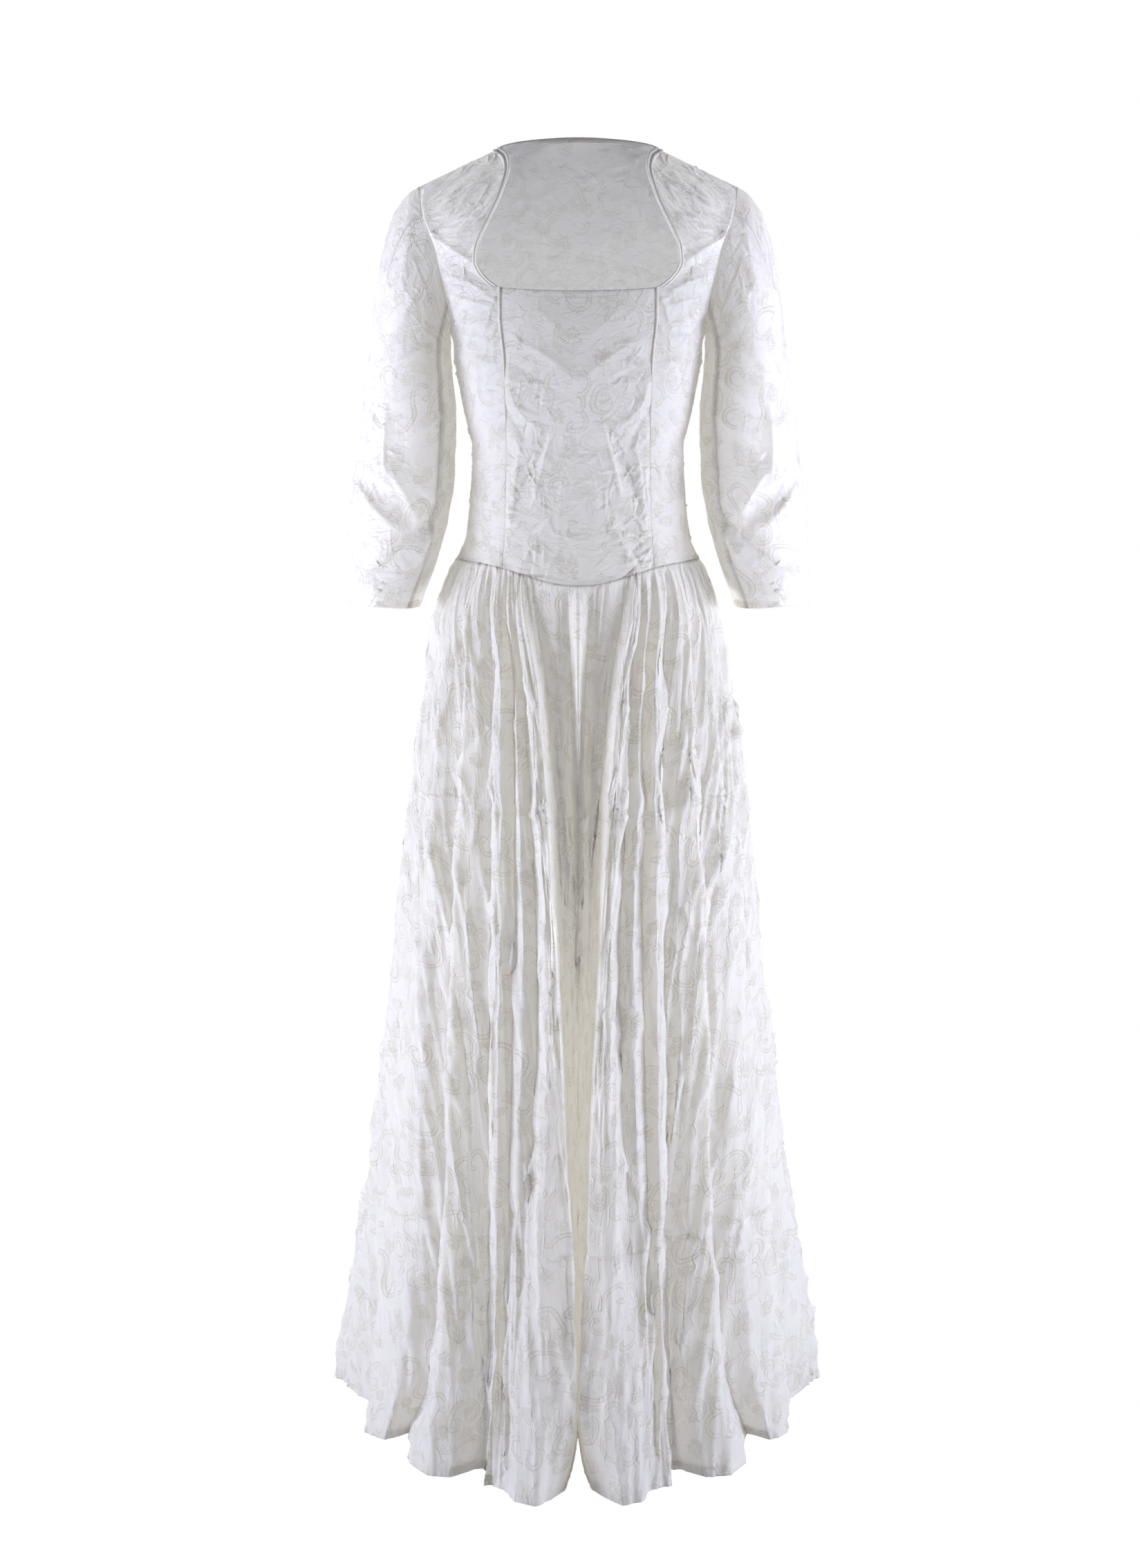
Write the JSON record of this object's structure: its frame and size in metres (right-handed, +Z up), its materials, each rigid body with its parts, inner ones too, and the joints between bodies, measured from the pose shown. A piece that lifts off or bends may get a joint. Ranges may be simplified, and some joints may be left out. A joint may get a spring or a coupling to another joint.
{
  "type": "maxi dress",
  "caption": "Long white cotton voile dress with a square neck, three-quarter sleeves, fitted princess-seamed bodice and a full gathered skirt, filled out as if worn.",
  "frame": {"origin": "between the shoulders at shoulder level, where the wearer holds the dress up", "axes": "the front faces -Y, +X is to the right in the picture, +Z is up"},
  "size_m": [0.5932, 0.6656, 1.4691],
  "materials": {
    "voile": "matt, slightly sheer printed white cotton voile",
    "binding": "matt white cotton, folded and stitched"
  },
  "bodies": {
    "root": {"bodice_front_centre": "voile", "bodice_front_side_left": "voile", "bodice_front_side_right": "voile", "bodice_back": "voile", "neck_binding_left": "binding", "neck_binding_right": "binding", "neck_binding_back": "binding", "princess_piping_left": "binding", "princess_piping_right": "binding", "sleeve_front_left": "voile", "sleeve_front_right": "voile", "sleeve_back_left": "voile", "sleeve_back_right": "voile", "skirt_front": "voile", "skirt_back": "voile"}
  },
  "joints": []
}
